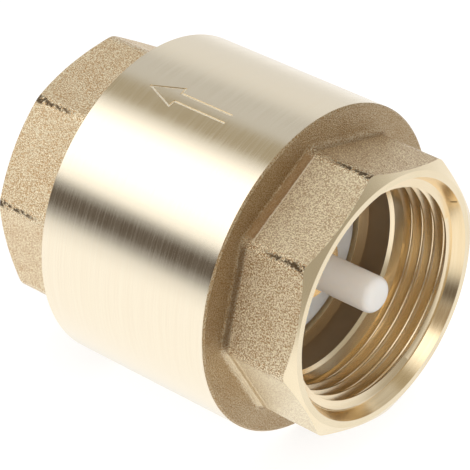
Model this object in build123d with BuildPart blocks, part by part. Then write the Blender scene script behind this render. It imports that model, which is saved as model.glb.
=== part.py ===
from build123d import *
from math import cos, radians, tan
import os

# In-line spring check valve, 1 1/4 inch, for pipework with parallel pipe threads.
# It stands on its outlet end: Z runs along the flow axis, outlet face at zero, inlet face on top.
# The closing disc opens downwards, towards the outlet. All sizes are in millimetres.

# Pipe threads and mouths, the same at both ends (a thread is a plain bore at its crest radius)
thread_crest_radius = 19.476
thread_depth = 13.5
mouth_step = 2.024
mouth_depth = 2.1
mouth_bevel = 0.3
port_step = 0.576

# Outside of the brass parts
inlet_end_length = 14.3
outlet_end_length = 15.7
end_face_width = 1.7
end_chamfer_angle = 30.0
octagon_wall = 2.15
octagon_corner_round = 2.5
octagon_base_fillet = 1.3
octagon_base_land = 0.05
inlet_octagon_angle = 22.5
outlet_octagon_twist = 28.0
barrel_overhang = 6.35
barrel_edge_bevel = 0.35

# Seat in the body
seat_ledge_width = 2.1
seat_ledge_drop = 0.6
orifice_length = 2.2
seat_lip_width = 1.6
seat_lip_height = 1.2

# Chamber, and the screwed joint between body and end adapter
barrel_wall = 5.0
chamber_corner_round = 3.0
adapter_flange_thickness = 2.5
adapter_screw_wall = 3.0
adapter_screw_length = 10.0
adapter_mouth_wall = 3.2
adapter_cone_height = 4.9
screw_clearance = 0.05
screw_end_gap = 0.4
screw_lead = 0.8

# Closing disc: front disc, seal ring and rear disc
disc_lift = 9.0
lift_stop_clearance = 0.3
seal_overhang = 1.2
seal_thickness = 2.4
seal_clamp_width = 3.4
seal_fit = 0.05
front_plate_gap = 0.8
front_plate_thickness = 1.8
rear_plate_setback = 0.8
rear_plate_thickness = 2.6
rear_rim_width = 1.8
rear_rim_height = 1.5
rear_boss_wall = 2.4
rear_boss_length = 6.0
rear_rib_count = 6
rear_rib_width = 1.4
stud_radius = 4.0
stud_reach = 3.6
stud_fit = 0.03
stud_end_gap = 0.3
disc_edge_round = 0.4

# Guide stems, and the spiders that carry them
stem_radius = 3.3
stem_tip_depth = 1.2
stem_tip_round = 0.9
stem_foot_round = 0.5
stem_overrun = 1.9
guide_clearance = 0.12
rib_count = 3
rib_width = 3.0
rib_round = 0.7
inlet_hub_wall = 2.23
inlet_hub_setback = 1.5
inlet_hub_length = 3.8
inlet_rib_step = 0.8
outlet_hub_wall = 3.18
outlet_hub_setback = 5.3
outlet_hub_length = 6.6
outlet_rib_step = 2.1

# Return spring, closed at both ends and ground flat
spring_wire_radius = 0.5
spring_hub_gap = 0.8
spring_turns = 7
spring_ground_height = 0.3
spring_seat_gap = 0.4
spring_seat_wall = 1.2

# Radii that follow, from the thread outwards and inwards
mouth_radius = thread_crest_radius + mouth_step
end_face_radius = mouth_radius + end_face_width
octagon_half_flats = mouth_radius + octagon_wall
barrel_radius = octagon_half_flats + barrel_overhang
chamber_radius = barrel_radius - barrel_wall
adapter_screw_radius = barrel_radius - adapter_screw_wall
adapter_mouth_radius = adapter_screw_radius - adapter_mouth_wall
port_radius = thread_crest_radius - port_step
orifice_radius = port_radius - seat_ledge_width
seat_lip_radius = orifice_radius + seat_lip_width
seal_outer_radius = seat_lip_radius + seal_overhang
front_plate_radius = orifice_radius - front_plate_gap
seal_inner_radius = front_plate_radius - seal_clamp_width
rear_plate_radius = seal_outer_radius - rear_plate_setback
rear_boss_radius = stud_radius + rear_boss_wall
guide_bore_radius = stem_radius + guide_clearance
inlet_hub_radius = guide_bore_radius + inlet_hub_wall
outlet_hub_radius = guide_bore_radius + outlet_hub_wall
spring_coil_radius = outlet_hub_radius + spring_hub_gap + spring_wire_radius
spring_seat_radius = spring_coil_radius + spring_wire_radius + spring_seat_gap

# Levels that follow, stacked up along the flow axis from the outlet face
outlet_hub_bottom = thread_depth + outlet_hub_setback
outlet_hub_top = outlet_hub_bottom + outlet_hub_length
outlet_stem_tip = outlet_hub_bottom - stem_overrun
spring_bottom = outlet_hub_top - outlet_rib_step
rear_boss_bottom = outlet_hub_top + lift_stop_clearance + disc_lift
rear_plate_bottom = rear_boss_bottom + rear_boss_length
seal_bottom = rear_plate_bottom + rear_plate_thickness
seat_level = seal_bottom + seal_thickness
chamber_ceiling = seat_level + seat_lip_height
front_plate_top = seat_level + front_plate_thickness
orifice_top = seat_level + orifice_length
inlet_hub_bottom = orifice_top + seat_ledge_drop
inlet_hub_top = inlet_hub_bottom + inlet_hub_length
overall_length = inlet_hub_top + inlet_hub_setback + thread_depth
inlet_stem_tip = overall_length - stem_tip_depth
barrel_bottom = outlet_end_length
barrel_top = overall_length - inlet_end_length
joint_level = barrel_bottom + adapter_flange_thickness
adapter_top = joint_level + adapter_screw_length

# The rounded octagon's corners, and the room that they leave for the fillet at its foot
half_side_angle = radians(22.5)
corner_reach = (octagon_half_flats - octagon_corner_round) / cos(half_side_angle) + octagon_corner_round
base_fillet_room = barrel_radius - barrel_edge_bevel - octagon_base_land - corner_reach
base_fillet = min(octagon_base_fillet, base_fillet_room)


def octagon_end(part, collar_level, length, outward, corner_angle):
    """Octagonal wrench end on a collar, outward is 1 for the upper end and -1 for the lower."""
    with BuildSketch(Plane.XY.offset(collar_level)) as outline:
        RegularPolygon(octagon_half_flats, 8, major_radius=False, rotation=corner_angle)
        fillet(outline.vertices(), octagon_corner_round)
    extrude(outline.sketch, amount=outward * length)
    collar = part.faces().filter_by(Axis.Z).sort_by_distance((barrel_radius, 0, collar_level))[0]
    fillet(collar.inner_wires()[0].edges(), base_fillet)


def chamfer_end(face_level, outward):
    """Turned chamfer that takes the corners off an octagonal end."""
    chamfer_drop = (barrel_radius - end_face_radius) * tan(radians(end_chamfer_angle))
    with BuildSketch(Plane.XZ) as corner:
        with BuildLine():
            Polyline(
                (end_face_radius, face_level),
                (barrel_radius, face_level),
                (barrel_radius, face_level - outward * chamfer_drop),
                close=True,
            )
        make_face()
    revolve(corner.sketch, axis=Axis.Z, mode=Mode.SUBTRACT)


def port_outline(face_level, outward):
    """Half outline of a threaded port, from the axis on its end face to the port bore."""
    depths = (
        (0, 0),
        (mouth_radius + mouth_bevel, 0),
        (mouth_radius, mouth_bevel),
        (mouth_radius, mouth_depth),
        (thread_crest_radius, mouth_depth),
        (thread_crest_radius, thread_depth),
        (port_radius, thread_depth + port_step),
    )
    return [(radius, face_level - outward * depth) for radius, depth in depths]


def guide_spider(hub_radius, hub_bottom, hub_length, rib_bottom, rib_top, first_angle):
    """Hub on ribs across a port, bored for a guide stem."""
    with BuildSketch(Plane.XY.offset(hub_bottom)) as hub:
        Circle(hub_radius)
    extrude(hub.sketch, amount=hub_length)
    for number in range(rib_count):
        rib_angle = first_angle + number * 360 / rib_count
        outward = Vector(1, 0, 0).rotate(Axis.Z, rib_angle)
        sideways = Vector(0, 1, 0).rotate(Axis.Z, rib_angle)
        with BuildSketch(Plane(origin=(0, 0, 0), x_dir=sideways, z_dir=outward)) as rib:
            with Locations((0, (rib_bottom + rib_top) / 2)):
                RectangleRounded(rib_width, rib_top - rib_bottom, rib_round)
        extrude(rib.sketch, amount=port_radius + rib_round)
    with BuildSketch(Plane.XY.offset(hub_bottom)) as bore:
        Circle(guide_bore_radius)
    extrude(bore.sketch, amount=hub_length, mode=Mode.SUBTRACT)


# Body: inlet octagon, barrel, seat and inlet guide, forged and turned in one piece
with BuildPart() as valve_body:
    with BuildSketch(Plane.XY.offset(joint_level)):
        Circle(barrel_radius)
    extrude(amount=barrel_top - joint_level)
    chamfer(valve_body.edges().group_by(Axis.Z)[-1], barrel_edge_bevel)
    octagon_end(valve_body, barrel_top, inlet_end_length, 1, inlet_octagon_angle)
    chamfer_end(overall_length, 1)

    screw_bore_radius = adapter_screw_radius + screw_clearance
    screw_bore_top = adapter_top + screw_end_gap
    with BuildSketch(Plane.XZ) as bore_section:
        with BuildLine():
            Polyline(
                *port_outline(overall_length, 1),
                (port_radius, inlet_hub_bottom),
                (orifice_radius, orifice_top),
                (orifice_radius, seat_level),
                (seat_lip_radius, seat_level),
                (seat_lip_radius, chamber_ceiling),
                (chamber_radius, chamber_ceiling),
                (chamber_radius, screw_bore_top),
                (screw_bore_radius, screw_bore_top),
                (screw_bore_radius, joint_level + screw_lead),
                (screw_bore_radius + screw_lead, joint_level),
                (0, joint_level),
                close=True,
            )
        make_face()
        ceiling_corner = bore_section.vertices().sort_by_distance((chamber_radius, chamber_ceiling))[0]
        fillet(ceiling_corner, chamber_corner_round)
    revolve(axis=Axis.Z, mode=Mode.SUBTRACT)

    guide_spider(
        inlet_hub_radius,
        inlet_hub_bottom,
        inlet_hub_length,
        inlet_hub_bottom,
        inlet_hub_top - inlet_rib_step,
        inlet_octagon_angle - 90,
    )

# End adapter: outlet octagon, flange, screw and outlet guide, in one piece
with BuildPart() as end_adapter:
    with BuildSketch(Plane.XY.offset(barrel_bottom)):
        Circle(barrel_radius)
    extrude(amount=adapter_flange_thickness)
    chamfer(end_adapter.edges().group_by(Axis.Z)[0], barrel_edge_bevel)
    with BuildSketch(Plane.XY.offset(joint_level)):
        Circle(adapter_screw_radius)
    extrude(amount=adapter_screw_length)
    chamfer(end_adapter.edges().group_by(Axis.Z)[-1], screw_lead)
    outlet_octagon_angle = inlet_octagon_angle + outlet_octagon_twist
    octagon_end(end_adapter, barrel_bottom, outlet_end_length, -1, outlet_octagon_angle)
    chamfer_end(0, -1)

    with BuildSketch(Plane.XZ):
        with BuildLine():
            Polyline(
                *port_outline(0, -1),
                (port_radius, adapter_top - adapter_cone_height),
                (adapter_mouth_radius, adapter_top - screw_lead),
                (adapter_mouth_radius, adapter_top),
                (0, adapter_top),
                close=True,
            )
        make_face()
    revolve(axis=Axis.Z, mode=Mode.SUBTRACT)

    guide_spider(
        outlet_hub_radius,
        outlet_hub_bottom,
        outlet_hub_length,
        outlet_hub_bottom,
        spring_bottom,
        outlet_octagon_angle - 90,
    )

# Front disc: plate in the orifice, inlet guide stem, and a stud that holds the rear disc
with BuildPart() as front_disc:
    stud_bottom = rear_plate_bottom - stud_reach
    with BuildSketch(Plane.XY.offset(stud_bottom)):
        Circle(stud_radius)
    extrude(amount=seal_bottom - stud_bottom)
    with BuildSketch(Plane.XY.offset(seal_bottom)):
        Circle(seal_inner_radius - seal_fit)
    extrude(amount=seal_thickness)
    with BuildSketch(Plane.XY.offset(seat_level)):
        Circle(front_plate_radius)
    extrude(amount=front_plate_thickness)
    fillet(front_disc.edges().group_by(Axis.Z)[-1], disc_edge_round)
    with BuildSketch(Plane.XY.offset(front_plate_top)):
        Circle(stem_radius)
    extrude(amount=inlet_stem_tip - front_plate_top)
    stem_foot = front_disc.edges().filter_by(GeomType.CIRCLE).sort_by_distance((stem_radius, 0, front_plate_top))
    fillet(stem_foot[0], stem_foot_round)
    fillet(front_disc.edges().group_by(Axis.Z)[-1], stem_tip_round)

# Seal ring: flat rubber washer clamped between the two discs
with BuildPart() as seal_ring:
    with BuildSketch(Plane.XY.offset(seal_bottom)):
        Circle(seal_outer_radius)
        Circle(seal_inner_radius, mode=Mode.SUBTRACT)
    extrude(amount=seal_thickness)

# Rear disc: ribbed plate with a spring seat, a boss over the stud, and the outlet guide stem
with BuildPart() as rear_disc:
    with BuildSketch(Plane.XY.offset(rear_plate_bottom)):
        Circle(rear_plate_radius)
    extrude(amount=rear_plate_thickness)
    with BuildSketch(Plane.XY.offset(rear_plate_bottom)):
        Circle(rear_plate_radius)
        Circle(rear_plate_radius - rear_rim_width, mode=Mode.SUBTRACT)
        Circle(spring_seat_radius + spring_seat_wall)
        Circle(spring_seat_radius, mode=Mode.SUBTRACT)
        rib_start = spring_seat_radius + spring_seat_wall / 2
        rib_reach = rear_plate_radius - rear_rim_width / 2 - rib_start
        with PolarLocations(rib_start, rear_rib_count):
            Rectangle(rib_reach, rear_rib_width, align=(Align.MIN, Align.CENTER))
    extrude(amount=-rear_rim_height)
    with BuildSketch(Plane.XY.offset(rear_boss_bottom)):
        Circle(rear_boss_radius)
    extrude(amount=rear_boss_length)
    fillet(rear_disc.edges().group_by(Axis.Z)[0], disc_edge_round)
    with BuildSketch(Plane.XY.offset(outlet_stem_tip)):
        Circle(stem_radius)
    extrude(amount=rear_boss_bottom - outlet_stem_tip)
    fillet(rear_disc.edges().group_by(Axis.Z)[0], stem_tip_round)
    with BuildSketch(Plane.XY.offset(seal_bottom)):
        Circle(stud_radius + stud_fit)
    extrude(amount=stud_bottom - stud_end_gap - seal_bottom, mode=Mode.SUBTRACT)

# Return spring: closed end turns ground flat on their seats, with the round wire drawn eight-sided
with BuildPart() as return_spring:
    closed_pitch = 2 * spring_wire_radius
    coil_bottom = spring_bottom + spring_ground_height
    coil_top = rear_plate_bottom - spring_ground_height
    active_height = coil_top - coil_bottom - 2 * closed_pitch
    active_pitch = active_height / (spring_turns - 2)
    with BuildLine() as coil:
        Helix(closed_pitch, closed_pitch, spring_coil_radius, (0, 0, coil_bottom))
        Helix(active_pitch, active_height, spring_coil_radius, (0, 0, coil_bottom + closed_pitch))
        Helix(closed_pitch, closed_pitch, spring_coil_radius, (0, 0, coil_top - closed_pitch))
    with BuildSketch(Plane(origin=coil.line @ 0, z_dir=coil.line % 0)):
        RegularPolygon(spring_wire_radius, 8)
    sweep(is_frenet=True)
    split(bisect_by=Plane.XY.offset(spring_bottom), keep=Keep.TOP)
    split(bisect_by=Plane.XY.offset(rear_plate_bottom), keep=Keep.BOTTOM)

os.makedirs("parts", exist_ok=True)
for name, sub_part in (
    ("valve_body", valve_body),
    ("end_adapter", end_adapter),
    ("front_disc", front_disc),
    ("seal_ring", seal_ring),
    ("rear_disc", rear_disc),
    ("return_spring", return_spring),
):
    sub_part.part.label = name
    export_step(sub_part.part, f"parts/{name}.step")
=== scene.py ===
import math

import bpy
from mathutils import Matrix, Vector


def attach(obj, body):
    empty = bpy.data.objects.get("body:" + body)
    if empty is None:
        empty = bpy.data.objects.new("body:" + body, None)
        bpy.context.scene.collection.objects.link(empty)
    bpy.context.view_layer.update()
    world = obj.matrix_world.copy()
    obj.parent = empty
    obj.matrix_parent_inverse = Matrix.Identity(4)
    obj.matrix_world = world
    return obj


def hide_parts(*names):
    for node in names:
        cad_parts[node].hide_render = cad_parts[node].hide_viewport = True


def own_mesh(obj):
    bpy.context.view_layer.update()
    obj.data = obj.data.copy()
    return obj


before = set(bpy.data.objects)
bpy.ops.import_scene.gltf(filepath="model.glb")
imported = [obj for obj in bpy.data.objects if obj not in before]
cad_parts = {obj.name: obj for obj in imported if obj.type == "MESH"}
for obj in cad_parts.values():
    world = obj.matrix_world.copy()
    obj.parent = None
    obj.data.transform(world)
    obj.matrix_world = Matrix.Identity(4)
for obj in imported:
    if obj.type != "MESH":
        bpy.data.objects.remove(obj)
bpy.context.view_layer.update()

# In-line spring check valve on its outlet end, Z along the flow axis. Sizes are in millimetres,
# with the values of the solids, and MM turns them into the frame's metres.
MM = 0.001

# Pipe threads and mouths, the same at both ends
thread_crest_radius = 19.476
thread_root_radius = 20.955
thread_pitch = 2.309
thread_start_depth = 0.6
thread_end_depth = 11.5
thread_depth = 13.5
inlet_groove_level = 61.649
outlet_groove_level = 0.9
groove_overlap = 0.28
groove_mouth_width = 2.24
groove_root_width = 0.72
groove_root_round = 0.3
mouth_radius = 21.5
mouth_flare = 0.5
mouth_depth = 2.1
port_radius = 18.9

# Octagonal ends and barrel
overall_length = 67.3
barrel_bottom = 15.7
joint_level = 18.2
barrel_top = 53.0
barrel_ring_levels = (46.0, 34.0, 22.0)
barrel_radius = 30.0
barrel_edge_bevel = 0.35
octagon_half_flats = 23.65
octagon_corner_round = 2.5
octagon_base_fillet = 1.3
inlet_octagon_angle = 22.5
outlet_octagon_angle = 50.5
half_side_angle = 22.5
end_face_radius = 23.2
end_chamfer_angle = 30.0

# Directions of the flats that carry the forging's corner marks
inlet_marked_flat = 90.0
outlet_marked_flat = 118.0

# Each end's face level, the level of the collar behind it, and which way along Z it looks
inlet_end = (overall_length, barrel_top, 1.0)
outlet_end = (0.0, barrel_bottom, -1.0)

# Short step that the thread's first turn leaves in the mouth of the inlet
nick_angle = 358.0
nick_size = (1.5, 0.3, 1.1)
nick_middle_radius = 21.75
nick_middle_depth = 0.75

# Seat, chamber and screwed joint
orifice_radius = 16.8
seat_level = 45.7
orifice_top = 47.9
inlet_hub_bottom = 48.5
seat_lip_radius = 18.4
chamber_ceiling = 46.9
chamber_radius = 25.0
chamber_corner_round = 3.0
screw_radius = 27.0
screw_clearance = 0.05
screw_top = 28.2
screw_bore_top = 28.6
screw_lead = 0.8
adapter_mouth_radius = 23.8
adapter_cone_bottom = 23.3

# Guides across the ports
guide_bore_radius = 3.42
rib_count = 3
rib_width = 3.0
rib_edge_round = 0.7
rib_root_depth = 0.35
inlet_hub_radius = 5.65
inlet_hub_top = 52.3
inlet_rib_top = 51.5
outlet_hub_radius = 6.6
outlet_hub_bottom = 18.8
outlet_hub_top = 25.4

# Closing disc and its stems
stem_radius = 3.3
stem_tip_round = 1.5
stem_tip_sweep = 78.0
stem_tip_dome = 0.04
stem_foot_fillet = 0.5
inlet_stem_tip = 66.1
outlet_stem_tip = 16.9
plate_edge_round = 0.4
front_plate_radius = 16.0
front_plate_top = 47.5
seal_outer_radius = 19.6
seal_inner_radius = 12.6
seal_bottom = 43.3
seal_edge_bevel = 0.25
seal_fit = 0.05
stud_radius = 4.0
stud_bottom = 37.1
stud_fit = 0.03
stud_end_gap = 0.3
rear_plate_radius = 18.8
rear_plate_bottom = 40.7
rear_plate_bevel = 0.3
rear_rim_width = 1.8
rear_rim_height = 1.5
rear_boss_radius = 6.4
rear_boss_bottom = 34.7
rear_rib_count = 6
rear_rib_width = 1.4
rear_rib_overlap = 0.4
spring_seat_radius = 8.8
spring_seat_wall = 1.2

# Radius of the small ring that starts and ends a turned outline beside the axis
axis_ring = 0.4

# Return spring
spring_bottom = 23.3
spring_wire_radius = 0.5
spring_wire_sides = 14
spring_coil_radius = 7.9
spring_ground_height = 0.3
spring_active_turns = 5
spring_steps_per_turn = 48

# Flow arrow, engraved in outline on the barrel, pointing at the outlet
arrow_angle = 77.3
arrow_tip_level = 22.8
arrow_barb_level = 28.7
arrow_barb_spread = 4.3
arrow_notch_level = 28.9
arrow_shaft_spread = 1.92
arrow_tail_level = 39.9
arrow_line_width = 0.4
arrow_line_depth = 0.2


# Camera at the photograph's viewing angle

def place_camera():
    right = Vector((0.56801, -0.32855, 0.75460))
    up = Vector((0.77313, 0.52737, -0.35235))
    back = Vector((-0.28219, 0.78354, 0.55356))
    place = Vector((-141.481, 390.534, 310.296))
    turn = Matrix((right, up, back)).transposed().to_4x4()
    bpy.ops.object.camera_add()
    camera = bpy.context.object
    camera.matrix_world = Matrix.Translation(place * MM) @ turn
    camera.data.sensor_width = 36.0
    camera.data.lens = 219.3
    camera.data.clip_start = 0.01
    camera.data.clip_end = 20.0
    bpy.context.scene.camera = camera


place_camera()


# Shader nodes: numbers that can be reckoned with, and one way to add a node

class Number:
    """A socket that carries a number, for arithmetic in a node tree."""

    def __init__(self, tree, socket):
        self.tree = tree
        self.socket = socket

    def reckon(self, operation, *others):
        values = dict(enumerate((self, *others)))
        return self.tree.add("ShaderNodeMath", {"operation": operation}, values).number("Value")

    def __add__(self, other):
        return self.reckon("ADD", other)

    def __radd__(self, other):
        return self.reckon("ADD", other)

    def __sub__(self, other):
        return self.reckon("SUBTRACT", other)

    def __rsub__(self, other):
        return (self * -1.0).reckon("ADD", other)

    def __mul__(self, other):
        return self.reckon("MULTIPLY", other)

    def __truediv__(self, other):
        return self.reckon("DIVIDE", other)


class Added:
    """A node just added, with its outputs by name."""

    def __init__(self, tree, node):
        self.tree = tree
        self.node = node

    def number(self, name):
        return Number(self.tree, self.node.outputs[name])

    def out(self, name):
        return self.node.outputs[name]


class NodeTree:
    """The nodes of one material or of the world."""

    def __init__(self, owner):
        owner.use_nodes = True
        self.node_tree = owner.node_tree
        self.node_tree.nodes.clear()

    def add(self, kind, settings=None, sockets=None):
        node = self.node_tree.nodes.new(kind)
        for key, value in (settings or {}).items():
            if key == "stops":
                self.set_stops(node.color_ramp, value)
            else:
                setattr(node, key, value)
        for key, value in (sockets or {}).items():
            if isinstance(value, Number):
                self.node_tree.links.new(value.socket, node.inputs[key])
            elif isinstance(value, bpy.types.NodeSocket):
                self.node_tree.links.new(value, node.inputs[key])
            else:
                node.inputs[key].default_value = value
        return Added(self, node)

    @staticmethod
    def set_stops(ramp, stops):
        ramp.elements.remove(ramp.elements[1])
        for number, (position, shade) in enumerate(stops):
            element = ramp.elements.new(position) if number else ramp.elements[0]
            red, green, blue = shade if isinstance(shade, tuple) else (shade, shade, shade)
            element.color = (red, green, blue, 1.0)


def noise(tree, place, scale, detail=2.0, roughness=0.5, stretch=(1.0, 1.0, 1.0)):
    """Noise on the piece's own coordinates, with scale in features per metre."""
    spread = {"Vector": place, "Scale": stretch}
    mapped = tree.add("ShaderNodeMapping", {"vector_type": "POINT"}, spread).out("Vector")
    sockets = {"Vector": mapped, "Scale": scale, "Detail": detail, "Roughness": roughness}
    return tree.add("ShaderNodeTexNoise", {"noise_dimensions": "3D"}, sockets).number("Fac")


def band(tree, value, low, high):
    """0 below low and 1 above high, smoothly between them."""
    settings = {"interpolation_type": "SMOOTHSTEP"}
    sockets = {"Value": value, "From Min": low, "From Max": high}
    return tree.add("ShaderNodeMapRange", settings, sockets).number("Result")


def stripe(tree, value, start, full, fading, gone):
    """0 outside start and gone and 1 from full to fading, smoothly between them."""
    return band(tree, value, start, full) * (1.0 - band(tree, value, fading, gone))


def blend_colours(tree, factor, first, second):
    """First colour where the factor is 0, second where it is 1."""
    settings = {"data_type": "RGBA", "blend_type": "MIX"}
    mixed = tree.add("ShaderNodeMix", settings, {0: factor, 6: first, 7: second})
    return mixed.node.outputs[2]


def colour(red, green, blue):
    """A colour from its 0 to 255 screen values."""
    def linear(value):
        value /= 255.0
        return value / 12.92 if value <= 0.04045 else ((value + 0.055) / 1.055) ** 2.4
    return (linear(red), linear(green), linear(blue), 1.0)


def new_finish(name):
    material = bpy.data.materials.new(name)
    return material, NodeTree(material)


def finish(made, shader, base, roughness, height=None, depth=0.0, strength=1.0):
    """Material with a single shader, its colour, roughness and relief given by links or numbers."""
    material, tree = made
    sockets = {**shader, "Base Color": base, "Roughness": roughness}
    if height is not None:
        relief = {"Height": height, "Distance": depth, "Strength": strength}
        sockets["Normal"] = tree.add("ShaderNodeBump", {}, relief).out("Normal")
    surface = tree.add("ShaderNodeBsdfPrincipled", {}, sockets)
    tree.add("ShaderNodeOutputMaterial", {}, {"Surface": surface.out("BSDF")})
    return material


def piece_place(tree):
    return tree.add("ShaderNodeTexCoord").out("Object")


# Finishes, with relief depths in metres

metal = {"Metallic": 1.0}


def angle_and_level(tree, place):
    """Degrees about the flow axis, and millimetres along it."""
    parts = tree.add("ShaderNodeSeparateXYZ", {}, {"Vector": place})
    angle = parts.number("Y").reckon("ARCTAN2", parts.number("X")) * (180.0 / math.pi)
    return angle, parts.number("Z") * 1000.0


def corner_marks(tree, place, angle, level, flat_angle, face_level):
    """1 on the ragged dark lines that forging leaves at a flat's two corners, near the face."""
    off_corner = ((angle - flat_angle).reckon("ABSOLUTE") - half_side_angle).reckon("ABSOLUTE")
    ragged = noise(tree, place, 1800.0, 3.0, 0.75)
    depth = (level - face_level).reckon("ABSOLUTE")
    near = 1.0 - band(tree, depth - ragged * 4.0, 5.5, 9.0)
    swelling = 1.0 - band(tree, depth, 2.0, 4.5)
    thin = 1.0 - band(tree, off_corner + (ragged - 0.5) * 3.6 - swelling * 0.9, 0.3, 1.2)
    patchy = band(tree, noise(tree, place, 1300.0, 2.0, 0.6), 0.36, 0.54)
    return near * thin * patchy


def rubbed_corners(tree, angle, flat_angle):
    """1 on the rounded corners of the octagon, which handling leaves smoother than the flats."""
    off_flat = (angle - flat_angle + 360.0).reckon("PINGPONG", half_side_angle)
    return band(tree, off_flat, 19.3, 21.3)


def on_flat(tree, angle, target):
    """1 on the flat that faces a target angle."""
    turned_off = ((angle - target + 540.0).reckon("MODULO", 360.0) - 180.0).reckon("ABSOLUTE")
    return 1.0 - band(tree, turned_off, 19.0, 23.0)


def foot_lines(tree, place, angle, rise, flat_angle):
    """Painted light and shade at the feet of three flats in a row, with rise over the collar.

    A brown band of painted shade with a thin painted highlight, then painted shade in the corner,
    then two raised ridges with a painted highlight. Last, painted light on the first and third
    flats.
    """
    first, second, third = (on_flat(tree, angle, flat_angle + turn) for turn in (0.0, 45.0, 90.0))
    rise = rise + (noise(tree, place, 420.0) - 0.5) * 0.3
    # Painted shade in a brown band on the first flat, a thin painted highlight above it, and
    # painted shade in the corner at the feet of the others
    painted_foot_shade = stripe(tree, rise, 0.1, 0.3, 1.4, 1.6) * first
    edge = stripe(tree, rise, 1.5, 1.65, 1.75, 1.95) * first
    painted_hollow_shade = stripe(tree, rise, 0.0, 0.4, 0.7, 1.5) * (1.0 - first) * (1.0 - third)
    # Raised ridges: real relief in the bump, and a painted highlight in the colour
    low_bead = stripe(tree, rise, 0.2, 0.5, 0.75, 1.1)
    high_bead = stripe(tree, rise, 1.4, 1.9, 2.1, 2.7)
    # Painted light that brightens the first and third flats
    painted_flat_light = first * 0.25 + third * 0.5
    return painted_foot_shade, edge, painted_hollow_shade * (second * 0.5 + 0.5), (low_bead + high_bead) * third, painted_flat_light


def cast_brass(name, flat_angle, end, coarseness):
    """Sand-blasted forging: matt tan with a fine sparkling grain, from 0, fine, to 1, coarse."""
    face_level, collar_level, outward = end
    made = new_finish(name)
    tree = made[1]
    place = piece_place(tree)
    angle, level = angle_and_level(tree, place)
    rise = (level - collar_level) * outward
    grain = noise(tree, place, 4700.0 - 400.0 * coarseness, 2.0, 0.6)
    clouds = noise(tree, place, 240.0, 3.0, 0.6)
    tone = band(tree, grain * 0.9 + clouds * 0.1, 0.41, 0.59)
    collar = 1.0 - band(tree, rise, 0.05, 0.4)
    painted_foot_shade, edge, painted_hollow_shade, beads_and_highlight, painted_flat_light = foot_lines(tree, place, angle, rise, flat_angle)
    marks = corner_marks(tree, place, angle, level, flat_angle, face_level)
    rubbed = rubbed_corners(tree, angle, flat_angle) * (1.0 - collar)
    darker = 20 * coarseness
    pits = colour(206 - darker, 168 - darker, 121 - darker)
    base = blend_colours(tree, tone, pits, colour(255, 241, 208))
    layers = (
        # Painted shade: the collar beside the octagon is darkened
        (collar * 0.5, colour(150, 120, 80)),
        # Painted light on the first and third flats, on the coarse inlet end only
        (painted_flat_light * coarseness * (1.0 - collar), colour(255, 244, 214)),
        # Painted shade: brown band at the foot of the first flat
        (painted_foot_shade * 0.8, colour(168, 130, 84)),
        # Painted shade in the corners at the feet of the other flats
        (painted_hollow_shade * 0.85, colour(108, 82, 52)),
        # Painted highlight on the two raised ridges of the third flat; their relief is real
        (beads_and_highlight * 0.45, colour(246, 228, 194)),
        # Painted highlight: thin bright line along the top of the brown band
        (edge * 0.85, colour(255, 244, 222)),
        (marks * 0.88, colour(76, 58, 38)),
    )
    for share, shade in layers:
        base = blend_colours(tree, share, base, shade)
    roughness = 0.32 + grain * 0.12 - rubbed * 0.2 + marks * 0.4
    height = grain + clouds * 0.1 + beads_and_highlight * 0.5
    return finish(made, metal, base, roughness, height, 0.0002 + 0.00005 * coarseness)


def turned_brass():
    """Barrel turned on a lathe, with fine lines round it that draw the light out along the axis."""
    made = new_finish("turned_brass")
    tree = made[1]
    lines = noise(tree, piece_place(tree), 60.0, 2.0, 0.6, (1.0, 1.0, 75.0))
    streaks = band(tree, lines, 0.38, 0.62)
    base = blend_colours(tree, streaks, colour(247, 234, 209), colour(250, 238, 214))
    shader = {**metal, "Anisotropic": 0.9, "Anisotropic Rotation": 0.25}
    return finish(made, shader, base, 0.14 + streaks * 0.09, lines, 0.00001, 0.3)


def faced_brass():
    """End faces and chamfers, turned last and left bright."""
    made = new_finish("faced_brass")
    tree = made[1]
    place = piece_place(tree)
    rings = noise(tree, place, 700.0, 2.0, 0.6)
    clouds = noise(tree, place, 130.0, 2.0, 0.5)
    base = blend_colours(tree, clouds, colour(241, 223, 187), colour(250, 235, 205))
    return finish(made, metal, base, 0.2 + rings * 0.08, rings, 0.00001, 0.3)


def tooled_metal(name, marks, dark, light, roughness, depth=0.00001):
    """Metal whose colour, gloss and relief all follow one pattern of tool marks.

    Roughness is given as its least value and its spread.
    """
    made = new_finish(name)
    tree = made[1]
    pattern = noise(tree, piece_place(tree), **marks)
    base = blend_colours(tree, pattern, colour(*dark), colour(*light))
    least, spread = roughness
    return finish(made, metal, base, least + pattern * spread, pattern, depth, 0.3)


def threaded_brass():
    """Bore, threads and seat as the tools leave them, warm and glossy."""
    lines = {"scale": 90.0, "stretch": (1.0, 1.0, 40.0)}
    return tooled_metal("threaded_brass", lines, (246, 224, 186), (255, 240, 211), (0.18, 0.1))


def bored_brass():
    """Plain bore beyond the thread, dull and in shade, its shade painted in as a darker colour."""
    clouds = {"scale": 260.0}
    shades = (150, 130, 106), (168, 148, 122)
    return tooled_metal("bored_brass", clouds, *shades, (0.5, 0.1), 0.00002)


def countersunk_brass():
    """Cone at the mouth of each port, cut with a sharp tool."""
    rings = {"scale": 80.0, "roughness": 0.6, "stretch": (1.0, 1.0, 30.0)}
    return tooled_metal("countersunk_brass", rings, (238, 213, 170), (252, 232, 194), (0.16, 0.08))


def spring_steel():
    lines = {"scale": 1800.0, "detail": 3.0}
    return tooled_metal("spring_steel", lines, (186, 186, 188), (208, 208, 210), (0.24, 0.14))


def engraved_metal(name, shader, dark, light, roughness):
    """Freshly cut brass of the engraved line, without relief."""
    made = new_finish(name)
    tree = made[1]
    grain = noise(tree, piece_place(tree), 3000.0)
    base = blend_colours(tree, grain, colour(*dark), colour(*light))
    return finish(made, shader, base, roughness)


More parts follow.
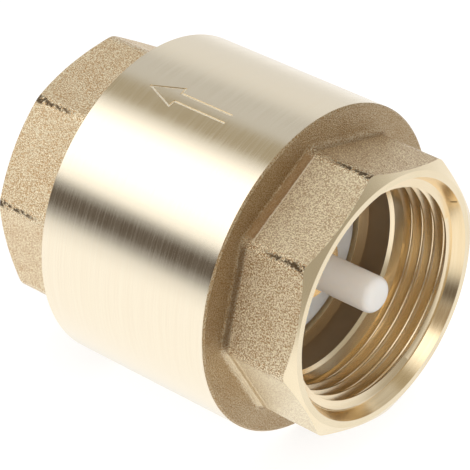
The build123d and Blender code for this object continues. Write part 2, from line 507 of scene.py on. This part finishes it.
def milky_plastic():
    """White acetal, slightly see-through at its edges."""
    made = new_finish("milky_plastic")
    tree = made[1]
    clouds = noise(tree, piece_place(tree), 300.0, 3.0, 0.5)
    base = blend_colours(tree, clouds, colour(227, 221, 213), colour(237, 232, 225))
    shader = {
        "Subsurface Weight": 0.9,
        "Subsurface Radius": (1.0, 0.9, 0.8),
        "Subsurface Scale": 0.005,
        "Specular IOR Level": 0.5,
    }
    return finish(made, shader, base, 0.38, clouds, 0.00005, 0.15)


def black_rubber():
    made = new_finish("black_rubber")
    tree = made[1]
    grain = noise(tree, piece_place(tree), 2500.0, 3.0)
    base = blend_colours(tree, grain, colour(30, 30, 31), colour(46, 46, 47))
    return finish(made, {}, base, 0.62 + grain * 0.15, grain, 0.00004, 0.5)


# Modelling by hand in code: rings walked along an outline, and cuts

def deselect_all():
    if bpy.context.object and bpy.context.object.mode != "OBJECT":
        bpy.ops.object.mode_set(mode="OBJECT")
    bpy.ops.object.select_all(action="DESELECT")


def edit(select):
    """Enters edit mode on the active piece, with nothing or everything selected."""
    bpy.ops.object.mode_set(mode="EDIT")
    bpy.context.tool_settings.mesh_select_mode = (False, True, False)
    bpy.ops.mesh.select_all(action=select)


def pick_edges(piece, wanted):
    """Selects the edges whose two ends satisfy wanted, and nothing else."""
    edit("DESELECT")
    bpy.ops.object.mode_set(mode="OBJECT")
    points = piece.data.vertices
    for line in piece.data.edges:
        line.select = wanted(*(points[number].co / MM for number in line.vertices))
    bpy.ops.object.mode_set(mode="EDIT")


def at_level(level, *points):
    return all(abs(point.z - level) < 1e-3 for point in points)


def round_ring(name, radius, level, count):
    deselect_all()
    bpy.ops.mesh.primitive_circle_add(vertices=count, radius=radius * MM, fill_type="NOTHING")
    ring = bpy.context.object
    ring.name = ring.data.name = name
    edit("SELECT")
    bpy.ops.transform.translate(value=(0, 0, level * MM))
    return ring


def octagon_ring(name, corner_angle, level):
    """Outline of an octagonal end: eight rounded corners, its flats divided evenly."""
    half_side = math.radians(half_side_angle)
    longest_corner_edge = 5.0
    deselect_all()
    bpy.ops.mesh.primitive_circle_add(
        vertices=8,
        radius=octagon_half_flats / math.cos(half_side) * MM,
        fill_type="NGON",
        rotation=(0, 0, math.radians(corner_angle - 90.0)),
    )
    ring = bpy.context.object
    ring.name = ring.data.name = name
    bpy.ops.object.transform_apply(location=False, rotation=True, scale=False)
    edit("SELECT")
    bpy.ops.mesh.bevel(
        offset=octagon_corner_round * math.tan(half_side) * MM,
        offset_type="OFFSET", affect="VERTICES", segments=12, profile=0.5, clamp_overlap=False,
    )
    pick_edges(ring, lambda a, b: (a - b).length > longest_corner_edge)
    bpy.ops.mesh.subdivide(number_cuts=31)
    bpy.ops.mesh.select_all(action="SELECT")
    bpy.ops.mesh.delete(type="ONLY_FACE")
    bpy.ops.mesh.select_all(action="SELECT")
    bpy.ops.transform.translate(value=(0, 0, level * MM))
    return ring


def extrude_up(height):
    """Draws the selected edges on along the flow axis."""
    bpy.ops.mesh.extrude_edges_move(TRANSFORM_OT_translate={"value": (0, 0, height * MM)})


def widen(share):
    """Scales the selected points about the flow axis."""
    bpy.ops.transform.resize(value=(share, share, 1.0), center_override=(0, 0, 0))


def walk(stations, radius, level):
    """Draws the selected ring on through stations of radius and level, one extrusion for each."""
    for next_radius, next_level in stations:
        extrude_up(next_level - level)
        share = next_radius / radius
        if abs(share - 1.0) > 1e-9:
            widen(share)
        radius, level = next_radius, next_level


def arc(centre, radius, start, end, steps=8):
    """Stations along an arc of an outline, angles in degrees from the radial direction."""
    across, along = centre
    turns = (math.radians(start + (end - start) * step / steps) for step in range(steps + 1))
    return [(across + radius * math.cos(turn), along + radius * math.sin(turn)) for turn in turns]


def face_outwards():
    bpy.ops.mesh.select_all(action="SELECT")
    bpy.ops.mesh.normals_make_consistent(inside=False)
    bpy.ops.object.mode_set(mode="OBJECT")


def close_ends():
    """Joins rings that meet, fills every ring still open, and turns all faces outwards."""
    bpy.ops.mesh.select_all(action="SELECT")
    bpy.ops.mesh.remove_doubles(threshold=0.002 * MM)
    bpy.ops.mesh.select_all(action="DESELECT")
    bpy.ops.mesh.select_non_manifold(extend=False)
    bpy.ops.mesh.edge_face_add()
    face_outwards()


def solid_of(name, stations, count):
    """Turned solid from an outline that starts and ends beside the axis, or square across it."""
    piece = round_ring(name, *stations[0], count)
    walk(stations[1:], *stations[0])
    for radius, level in (stations[0], stations[-1]):
        pick_edges(piece, lambda a, b: at_level(level, a, b)
                   and max(abs(a.xy.length - radius), abs(b.xy.length - radius)) < 2e-3
                   and abs(a.xy.length - b.xy.length) < 2e-3)
        bpy.ops.mesh.edge_face_add()
    face_outwards()
    return piece


def box(size, middle, turn=0.0):
    """Box about its middle, turned about the flow axis."""
    deselect_all()
    bpy.ops.mesh.primitive_cube_add(size=1.0, rotation=(0, 0, turn))
    made = bpy.context.object
    made.scale = [length * MM for length in size]
    made.location = [length * MM for length in middle]
    bpy.ops.object.transform_apply(location=True, rotation=True, scale=True)
    return made


def combine(piece, tool, operation):
    """Cuts the tool out of the piece, or joins it on, and throws the tool away."""
    deselect_all()
    bpy.context.view_layer.objects.active = piece
    piece.select_set(True)
    modifier = piece.modifiers.new("cut", "BOOLEAN")
    modifier.operation = operation
    modifier.solver = "EXACT"
    modifier.object = tool
    bpy.ops.object.modifier_apply(modifier=modifier.name)
    bpy.data.objects.remove(tool, do_unlink=True)


def trim(piece, lowest, highest):
    """Cuts off square what reaches below the lowest or above the highest level."""
    width, height = 80.0, 20.0
    for middle in (lowest - height / 2, highest + height / 2):
        combine(piece, box((width, width, height), (0.0, 0.0, middle)), "DIFFERENCE")


def chamfer_tool(face_level, outward):
    """Ring whose inner cone takes the corners off an octagonal end."""
    slope = math.tan(math.radians(end_chamfer_angle))
    overlap = 2.0
    outer_radius = barrel_radius + 4.0
    sides = 352
    drop = (outer_radius - end_face_radius) * slope
    rise = overlap * slope
    stations = [
        (end_face_radius - overlap, face_level + outward * rise),
        (outer_radius, face_level + outward * rise),
        (outer_radius, face_level - outward * drop),
    ]
    ring = round_ring("chamfer_tool", *stations[0], sides)
    walk(stations[1:] + stations[:1], *stations[0])
    close_ends()
    return ring


def groove_tool(phase_level, first_level, last_level):
    """Right-handed groove between the thread's crests, from the first level to the last."""
    turns = math.ceil((last_level - first_level) / thread_pitch) + 2
    turns_below = math.floor((first_level - phase_level) / thread_pitch - 1.0)
    start_level = phase_level + thread_pitch * turns_below
    inner_radius = thread_crest_radius - groove_overlap
    depth = thread_root_radius - inner_radius
    deselect_all()
    bpy.ops.mesh.primitive_plane_add(size=1.0, rotation=(math.radians(90.0), 0, 0))
    tool = bpy.context.object
    tool.name = tool.data.name = "groove_tool"
    tool.scale = (depth * MM, groove_mouth_width * MM, 1.0)
    tool.location = ((inner_radius + depth / 2) * MM, 0, start_level * MM)
    bpy.ops.object.transform_apply(location=True, rotation=True, scale=True)
    pick_edges(tool, lambda a, b: min(a.x, b.x) > inner_radius + depth / 2)
    bpy.ops.transform.resize(
        value=(1, 1, groove_root_width / groove_mouth_width),
        center_override=(0, 0, start_level * MM),
    )
    bpy.ops.mesh.bevel(
        offset=groove_root_round * MM, offset_type="OFFSET", affect="VERTICES",
        segments=3, clamp_overlap=False,
    )
    bpy.ops.mesh.select_all(action="SELECT")
    bpy.ops.mesh.delete(type="ONLY_FACE")
    bpy.ops.object.mode_set(mode="OBJECT")
    screw = tool.modifiers.new("screw", "SCREW")
    screw.axis = "Z"
    screw.angle = 2.0 * math.pi
    screw.screw_offset = thread_pitch * MM
    screw.iterations = turns
    screw.steps = screw.render_steps = 120
    bpy.ops.object.modifier_apply(modifier=screw.name)
    edit("SELECT")
    close_ends()
    trim(tool, first_level, last_level)
    return tool


def port_walk(face_level, outward):
    """Stations of a threaded port, from its bore out to its mouth."""
    depths = (
        (port_radius, thread_depth + thread_crest_radius - port_radius),
        (thread_crest_radius, thread_depth),
        (thread_crest_radius, mouth_depth),
        (mouth_radius - mouth_flare, mouth_depth),
        (mouth_radius + mouth_flare, 0.0),
    )
    return [(radius, face_level - outward * depth) for radius, depth in depths]


def octagonal_shell(name, corner_angle, end, outline):
    """Octagonal end, collar and turned outline outside, and a port inside, as one closed shell."""
    face_level, collar_level, outward = end
    between_octagon_and_barrel = 27.3
    shell = octagon_ring(name, corner_angle, face_level)
    extrude_up(collar_level - face_level)
    extrude_up(0.0)
    bpy.ops.transform.tosphere(value=1.0)
    bpy.ops.object.mode_set(mode="OBJECT")
    reach = max(point.co.xy.length for point in shell.data.vertices if point.select) / MM
    bpy.ops.object.mode_set(mode="EDIT")
    widen(outline[0][0] / reach)
    walk(outline[1:] + port_walk(face_level, outward), *outline[0])
    pick_edges(shell, lambda a, b: at_level(face_level, a, b)
               and abs((a - b).normalized().dot(((a + b) / 2).normalized())) < 0.5)
    bpy.ops.mesh.bridge_edge_loops()
    pick_edges(shell, lambda a, b: at_level(collar_level, a, b)
               and max(a.xy.length, b.xy.length) < between_octagon_and_barrel)
    bpy.ops.mesh.bevel(
        offset=octagon_base_fillet * MM, offset_type="OFFSET", affect="EDGES",
        segments=8, profile=0.5, clamp_overlap=False,
    )
    face_outwards()
    combine(shell, chamfer_tool(face_level, outward), "DIFFERENCE")
    return shell


def hub_on_ribs(name, hub_radius, hub_bottom, hub_top, rib_bottom, rib_top, first_angle):
    """Guide across a port: a hub with a bore, on three ribs that end in the wall."""
    sides = 96
    overrun = 3.0
    reach = port_radius + rib_root_depth
    level = (rib_bottom + rib_top) / 2
    hub = solid_of(name, [(hub_radius, hub_bottom), (hub_radius, hub_top)], sides)
    for number in range(rib_count):
        turn = math.radians(first_angle + 360.0 / rib_count * number)
        middle = (reach / 2 * math.cos(turn), reach / 2 * math.sin(turn), level)
        rib = box((reach, rib_width, rib_top - rib_bottom), middle, turn)
        pick_edges(rib, lambda a, b: (a - b).length > reach - 0.1)
        bpy.ops.mesh.bevel(
            offset=rib_edge_round * MM, offset_type="OFFSET", affect="EDGES",
            segments=5, profile=0.5,
        )
        bpy.ops.object.mode_set(mode="OBJECT")
        combine(hub, rib, "UNION")
    ends = (hub_bottom - overrun, hub_top + overrun)
    bore = solid_of("bore", [(guide_bore_radius, level) for level in ends], sides)
    combine(hub, bore, "DIFFERENCE")
    return hub


def engrave_arrow(piece):
    """Cuts the flow arrow's outline into the barrel, one thin bar for each stroke."""
    bar_height = 1.2
    floor_step = 0.002  # between the floors of crossing strokes, so that no two lie in one plane
    tip = (0.0, arrow_tip_level)
    strokes = []
    for side in (-1.0, 1.0):
        barb = (side * arrow_barb_spread, arrow_barb_level)
        notch = (side * arrow_shaft_spread, arrow_notch_level)
        tail = (side * arrow_shaft_spread, arrow_tail_level)
        strokes += [(tip, barb), (barb, notch), (notch, tail)]
    for number, stroke in enumerate(strokes):
        ends = []
        for offset, level in stroke:
            angle = math.radians(arrow_angle + offset)
            ends.append(Vector((
                barrel_radius * math.cos(angle), barrel_radius * math.sin(angle), level,
            )))
        along = ends[1] - ends[0]
        middle = (ends[0] + ends[1]) / 2
        outward = Vector((middle.x, middle.y, 0)).normalized()
        side_way = outward.cross(along).normalized()
        outward = along.cross(side_way).normalized()
        length = along.length + arrow_line_width
        size = (length * MM, arrow_line_width * MM, bar_height * MM)
        turn = Matrix((along.normalized(), side_way, outward)).transposed().to_4x4()
        depth = arrow_line_depth - floor_step * number
        place = Matrix.Translation((middle + outward * (bar_height / 2 - depth)) * MM)
        deselect_all()
        bpy.ops.mesh.primitive_cube_add(size=1.0)
        bar = bpy.context.object
        bar.matrix_world = place @ turn @ Matrix.Diagonal((*size, 1.0))
        bpy.ops.object.transform_apply(location=True, rotation=True, scale=True)
        combine(piece, bar, "DIFFERENCE")


def nick_mouth(piece):
    """Cuts the short step into the mouth of the inlet."""
    turn = math.radians(nick_angle)
    middle = (
        nick_middle_radius * math.cos(turn), nick_middle_radius * math.sin(turn),
        overall_length - nick_middle_depth,
    )
    combine(piece, box(nick_size, middle, turn), "DIFFERENCE")


def paint(piece, finishes, choose):
    """Gives each face the finish that choose names, from its middle and direction."""
    piece.data.materials.clear()
    names = list(finishes)
    for name in names:
        piece.data.materials.append(finishes[name])
    for face in piece.data.polygons:
        face.material_index = names.index(choose(face.center / MM, face.normal))


def smooth(piece, angle=28.0):
    deselect_all()
    bpy.context.view_layer.objects.active = piece
    piece.select_set(True)
    bpy.ops.object.shade_smooth_by_angle(angle=math.radians(angle))


def hand_over(piece, body, slot, *nodes):
    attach(piece, body)
    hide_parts(*nodes)


# Brass pieces: what both share

brass_finishes = {
    "turned": turned_brass(),
    "faced": faced_brass(),
    "threaded": threaded_brass(),
    "bored": bored_brass(),
    "countersunk": countersunk_brass(),
    "engraved": engraved_metal(
        "engraved_brass", {"Metallic": 0.5}, (246, 236, 212), (255, 248, 230), 0.55
    ),
    # Painted shade: the walls of the engraved lines take a darker brass colour
    "edge": engraved_metal("engraved_wall_shade_brass", metal, (186, 166, 132), (206, 186, 152), 0.5),
}


def brass_choice(end):
    """Names the finish of a brass face by where it lies and which way it looks."""
    face_level, collar_level, outward = end
    slack = 0.05
    touch = 0.02

    def choose(middle, normal):
        radius = middle.xy.length
        inwards = (face_level - middle.z) * outward
        if abs(radius - mouth_radius) < 0.3 and slack < inwards < mouth_depth - slack:
            return "countersunk"
        if abs(radius - port_radius) < 0.15 and inwards > thread_depth and abs(normal.z) < 0.5:
            return "bored"
        if radius < mouth_radius + 0.6:
            return "threaded"
        if abs(middle.z - face_level) < touch:
            return "faced"
        slope = abs(normal.z)
        beyond = (middle.z - collar_level) * outward
        if beyond > 3.0 and 0.8 < slope < 0.9 and radius > end_face_radius - 0.2:
            return "faced"
        if beyond > -touch - barrel_edge_bevel and slope > 0.6 or beyond > touch:
            return "cast"
        if middle.xy.dot(normal.xy) >= 0.0 and radius > barrel_radius - 0.4:
            # Walls of the engraved lines, which carry painted shade
            if middle.xy.normalized().dot(normal.xy) < 0.9:
                return "edge"
            return "engraved" if radius < barrel_radius - slack else "turned"
        return "threaded"
    return choose


def complete_brass(piece, end, cast, node):
    """Finishes a brass piece and puts it in the place of its solid."""
    paint(piece, {"cast": cast, **brass_finishes}, brass_choice(end))
    smooth(piece)
    hand_over(piece, "housing", "brass", node)


# Brass body: inlet octagon, barrel, seat and inlet guide

def brass_body():
    screw_bore = screw_radius + screw_clearance
    corner = (chamber_radius - chamber_corner_round, chamber_ceiling - chamber_corner_round)
    outline = [
        (barrel_radius - barrel_edge_bevel, barrel_top),
        (barrel_radius, barrel_top - barrel_edge_bevel),
        *((barrel_radius, level) for level in barrel_ring_levels),
        (barrel_radius, joint_level),
        (screw_bore + screw_lead, joint_level),
        (screw_bore, joint_level + screw_lead),
        (screw_bore, screw_bore_top),
        (chamber_radius, screw_bore_top),
        *arc(corner, chamber_corner_round, 0.0, 90.0),
        (seat_lip_radius, chamber_ceiling),
        (seat_lip_radius, seat_level),
        (orifice_radius, seat_level),
        (orifice_radius, orifice_top),
        (port_radius, inlet_hub_bottom),
    ]
    body = octagonal_shell("brass_body", inlet_octagon_angle, inlet_end, outline)
    guide = hub_on_ribs(
        "inlet_guide", inlet_hub_radius, inlet_hub_bottom, inlet_hub_top,
        inlet_hub_bottom, inlet_rib_top, inlet_octagon_angle - 90.0,
    )
    engrave_arrow(body)
    nick_mouth(body)
    combine(body, guide, "UNION")
    groove = groove_tool(
        inlet_groove_level, overall_length - thread_end_depth, overall_length - thread_start_depth
    )
    combine(body, groove, "DIFFERENCE")
    cast = cast_brass("cast_brass_inlet", inlet_marked_flat, inlet_end, 1.0)
    complete_brass(body, inlet_end, cast, "valve_body")


# Brass end adapter: outlet octagon, screwed joint and outlet guide

def brass_end_adapter():
    outline = [
        (barrel_radius - barrel_edge_bevel, barrel_bottom),
        (barrel_radius, barrel_bottom + barrel_edge_bevel),
        (barrel_radius, joint_level),
        (screw_radius, joint_level),
        (screw_radius, screw_top - screw_lead),
        (screw_radius - screw_lead, screw_top),
        (adapter_mouth_radius, screw_top),
        (adapter_mouth_radius, screw_top - screw_lead),
        (port_radius, adapter_cone_bottom),
    ]
    adapter = octagonal_shell("brass_end_adapter", outlet_octagon_angle, outlet_end, outline)
    guide = hub_on_ribs(
        "outlet_guide", outlet_hub_radius, outlet_hub_bottom, outlet_hub_top,
        outlet_hub_bottom, spring_bottom, outlet_octagon_angle - 90.0,
    )
    combine(adapter, guide, "UNION")
    groove = groove_tool(outlet_groove_level, thread_start_depth, thread_end_depth)
    combine(adapter, groove, "DIFFERENCE")
    cast = cast_brass("cast_brass_outlet", outlet_marked_flat, outlet_end, 0.0)
    complete_brass(adapter, outlet_end, cast, "end_adapter")


# Closing disc: front disc with the inlet stem, seal ring, and rear disc with the outlet stem

plastic = milky_plastic()
disc_sides = 128
disc_smoothing = 35.0


def white_front_disc():
    crown = 0.12
    dome_radius = 1.5
    plate_corner = (front_plate_radius - plate_edge_round, front_plate_top - plate_edge_round)
    foot = (stem_radius + stem_foot_fillet, front_plate_top + stem_foot_fillet)
    tip = (stem_radius - stem_tip_round, inlet_stem_tip - stem_tip_round - crown)
    stations = [
        (axis_ring, stud_bottom),
        (stud_radius, stud_bottom),
        (stud_radius, seal_bottom),
        (seal_inner_radius - seal_fit, seal_bottom),
        (seal_inner_radius - seal_fit, seat_level),
        (front_plate_radius, seat_level),
        *arc(plate_corner, plate_edge_round, 0.0, 90.0, 5),
        *arc(foot, stem_foot_fillet, 270.0, 180.0, 5),
        *arc(tip, stem_tip_round, 0.0, stem_tip_sweep),
        (dome_radius, inlet_stem_tip - stem_tip_dome),
        (axis_ring, inlet_stem_tip),
    ]
    disc = solid_of("white_front_disc", stations, disc_sides)
    disc.data.materials.append(plastic)
    smooth(disc, disc_smoothing)
    hand_over(disc, "closing_disc", "white_plastic", "front_disc")


def rubber_seal():
    bevel = seal_edge_bevel
    start = (seal_outer_radius, seal_bottom + bevel)
    stations = [
        (seal_outer_radius, seat_level - bevel),
        (seal_outer_radius - bevel, seat_level),
        (seal_inner_radius + bevel, seat_level),
        (seal_inner_radius, seat_level - bevel),
        (seal_inner_radius, seal_bottom + bevel),
        (seal_inner_radius + bevel, seal_bottom),
        (seal_outer_radius - bevel, seal_bottom),
        start,
    ]
    ring = round_ring("rubber_seal", *start, 160)
    walk(stations, *start)
    close_ends()
    ring.data.materials.append(black_rubber())
    smooth(ring)
    hand_over(ring, "closing_disc", "black_rubber", "seal_ring")


def white_rear_disc():
    crown = 0.1
    dome_radius = 1.6
    rim_inside = rear_plate_radius - rear_rim_width
    seat_outside = spring_seat_radius + spring_seat_wall
    rim_bottom = rear_plate_bottom - rear_rim_height
    tip = (stem_radius - stem_tip_round, outlet_stem_tip + stem_tip_round + crown)
    boss_corner = (rear_boss_radius - plate_edge_round, rear_boss_bottom + plate_edge_round)
    stations = [
        (axis_ring, outlet_stem_tip),
        (dome_radius, outlet_stem_tip + stem_tip_dome),
        *arc(tip, stem_tip_round, -stem_tip_sweep, 0.0),
        (stem_radius, rear_boss_bottom),
        *arc(boss_corner, plate_edge_round, -90.0, 0.0, 5),
        (rear_boss_radius, rear_plate_bottom),
        (spring_seat_radius, rear_plate_bottom),
        (spring_seat_radius, rim_bottom),
        (seat_outside, rim_bottom),
        (seat_outside, rear_plate_bottom),
        (rim_inside, rear_plate_bottom),
        (rim_inside, rim_bottom),
        (rear_plate_radius - rear_plate_bevel, rim_bottom),
        (rear_plate_radius, rim_bottom + rear_plate_bevel),
        (rear_plate_radius, seal_bottom),
        (stud_radius + stud_fit, seal_bottom),
        (stud_radius + stud_fit, stud_bottom - stud_end_gap),
        (axis_ring, stud_bottom - stud_end_gap),
    ]
    disc = solid_of("white_rear_disc", stations, disc_sides)
    start = seat_outside - rear_rib_overlap
    reach = rim_inside + rear_rib_overlap - start
    height = rear_rim_height + rear_rib_overlap
    middle = start + reach / 2
    for number in range(rear_rib_count):
        turn = math.radians(360.0 / rear_rib_count * number)
        place = (middle * math.cos(turn), middle * math.sin(turn), rim_bottom + height / 2)
        combine(disc, box((reach, rear_rib_width, height), place, turn), "UNION")
    disc.data.materials.append(plastic)
    smooth(disc, disc_smoothing)
    hand_over(disc, "closing_disc", "white_plastic", "rear_disc")


# Return spring

def turn_selected(degrees):
    """Turns the selected points about the flow axis."""
    bpy.ops.transform.rotate(
        value=-math.radians(degrees), orient_axis="Z", orient_type="GLOBAL",
        center_override=(0, 0, 0),
    )


def steel_spring():
    """Round wire coiled with a closed turn at each end, both ends ground flat."""
    closed_pitch = 2.0 * spring_wire_radius
    coil_bottom = spring_bottom + spring_ground_height
    coil_top = rear_plate_bottom - spring_ground_height
    active_pitch = (coil_top - coil_bottom - 2.0 * closed_pitch) / spring_active_turns
    pitches = [closed_pitch, *[active_pitch] * spring_active_turns, closed_pitch]
    deselect_all()
    bpy.ops.mesh.primitive_circle_add(
        vertices=spring_wire_sides, radius=spring_wire_radius * MM, fill_type="NOTHING",
        rotation=(math.radians(90.0), 0, 0),
    )
    wire = bpy.context.object
    wire.name = wire.data.name = "steel_spring"
    wire.location = (spring_coil_radius * MM, 0, 0)
    bpy.ops.object.transform_apply(location=True, rotation=True, scale=True)
    edit("SELECT")
    bpy.ops.transform.translate(value=(0, 0, coil_bottom * MM))
    for pitch in pitches:
        for _ in range(spring_steps_per_turn):
            extrude_up(pitch / spring_steps_per_turn)
            turn_selected(360.0 / spring_steps_per_turn)
    close_ends()
    trim(wire, spring_bottom, rear_plate_bottom)
    wire.data.materials.append(spring_steel())
    smooth(wire, 40.0)
    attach(wire, "housing")
    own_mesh(wire)
    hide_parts("return_spring")


brass_body()
brass_end_adapter()
white_front_disc()
rubber_seal()
white_rear_disc()
steel_spring()


# Studio: white surround, dark boards in the reflections, two soft lamps, and the table

white_light = (1, 1, 1, 1)


def direction(azimuth, height):
    """Direction from its azimuth and its height over the horizon, in degrees."""
    turn, rise = math.radians(azimuth), math.radians(height)
    return (math.cos(turn) * math.cos(rise), math.sin(turn) * math.cos(rise), math.sin(rise))


def surround():
    """White to the camera, a soft even light to the plastic, and boards and cards to the metal."""
    world = bpy.data.worlds.new("studio")
    bpy.context.scene.world = world
    tree = NodeTree(world)
    way = tree.add("ShaderNodeTexCoord").out("Generated")
    parts = tree.add("ShaderNodeSeparateXYZ", {}, {"Vector": way})
    east, north, level = (parts.number(axis) for axis in "XYZ")

    def towards(aim):
        return east * aim[0] + north * aim[1] + level * aim[2]

    # Boards round the flow axis, by their share of a full turn from +X
    share = (north.reckon("ARCTAN2", east) / (2.0 * math.pi) + 1.0).reckon("FRACT")
    grey = 0.56
    shade = (0.29, 0.26, 0.20)
    dark = (0.08, 0.066, 0.055)
    stops = [
        (0.0, grey), (0.028, 0.52), (0.055, 0.40), (0.110, 0.42), (0.128, shade), (0.165, shade),
        (0.185, 0.62), (0.208, 0.95), (0.225, 1.14), (0.300, 1.14), (0.322, 1.0), (0.346, 0.75),
        (0.362, 0.30), (0.378, dark), (0.402, dark), (0.420, 0.28), (0.440, 0.62), (0.470, 0.76),
        (0.700, 0.76), (0.800, 0.66), (0.870, 0.72), (0.930, grey),
    ]
    boards = tree.add("ShaderNodeValToRGB", {"stops": stops}, {"Fac": share}).out("Color")
    ceiling = band(tree, towards((0.129, 0.224, 0.966)), 0.64, 0.9)
    around = blend_colours(tree, ceiling, boards, (0.29, 0.27, 0.23, 1.0))

    # Dark cards that the threads and the forged flats reflect, by place and half width
    card_edge = 4.0
    for azimuth, height, reach in ((116.0, 15.0, 13.0), (-4.0, -2.0, 14.0)):
        card = band(
            tree, towards(direction(azimuth, height)),
            math.cos(math.radians(reach + card_edge)), math.cos(math.radians(reach - card_edge)),
        )
        around = blend_colours(tree, card, around, (0.2, 0.155, 0.1, 1.0))

    rays = tree.add("ShaderNodeLightPath")
    seen, reflected, soft = (
        tree.add("ShaderNodeBackground", {}, {"Color": light, "Strength": strength})
        .out("Background")
        for light, strength in ((white_light, 1.0), (around, 1.4), (white_light, 0.7))
    )
    lit = tree.add("ShaderNodeMixShader", {}, {0: rays.out("Is Glossy Ray"), 1: soft, 2: reflected})
    choice = {0: rays.out("Is Camera Ray"), 1: lit.out("Shader"), 2: seen}
    shown = tree.add("ShaderNodeMixShader", {}, choice)
    tree.add("ShaderNodeOutputWorld", {}, {"Surface": shown.out("Shader")})


def placed(place, facing):
    """Matrix that puts an object at a place, with its Z axis along a direction."""
    return Matrix.Translation(place * MM) @ facing.to_track_quat("Z", "Y").to_matrix().to_4x4()


def table():
    """White table that the barrel lies on in the photograph, seen only with the object's shadow."""
    up = Vector((0.5008, 0.8656, 0.0))
    deselect_all()
    bpy.ops.mesh.primitive_plane_add(size=3.0)
    top = bpy.context.object
    top.name = "table"
    top.matrix_world = placed(up * -barrel_radius, up)
    material, tree = new_finish("table_white")
    rough = tree.add("ShaderNodeBsdfDiffuse", {}, {"Color": (0.4, 0.4, 0.4, 1)}).out("BSDF")
    glow = tree.add("ShaderNodeEmission", {}, {"Color": white_light, "Strength": 0.76})
    both = tree.add("ShaderNodeAddShader", {}, {0: rough, 1: glow.out("Emission")}).out("Shader")
    clear = tree.add("ShaderNodeBsdfTransparent").out("BSDF")
    underside = tree.add("ShaderNodeNewGeometry").out("Backfacing")
    shown = tree.add("ShaderNodeMixShader", {}, {0: underside, 1: both, 2: clear})
    tree.add("ShaderNodeOutputMaterial", {}, {"Surface": shown.out("Shader")})
    top.data.materials.append(material)
    top.visible_glossy = top.visible_diffuse = False
    top.visible_transmission = top.visible_shadow = False


def soft_lamp(name, place, size, power):
    """Square soft lamp that looks at the middle of the valve and doesn't show in the metal."""
    valve_middle = Vector((0, 0, 33.0))
    place = Vector(place)
    deselect_all()
    bpy.ops.object.light_add(type="AREA")
    lamp = bpy.context.object
    lamp.name = name
    lamp.data.shape = "SQUARE"
    lamp.data.size = size * MM
    lamp.data.energy = power
    lamp.visible_glossy = False
    lamp.matrix_world = placed(place, (place - valve_middle).normalized())


surround()
table()
soft_lamp("overhead_lamp", (420.0, 620.0, 120.0), 500.0, 0.6)
soft_lamp("front_lamp", (-190.0, 408.0, 569.0), 400.0, 1.6)

bpy.context.scene.view_settings.view_transform = "Standard"
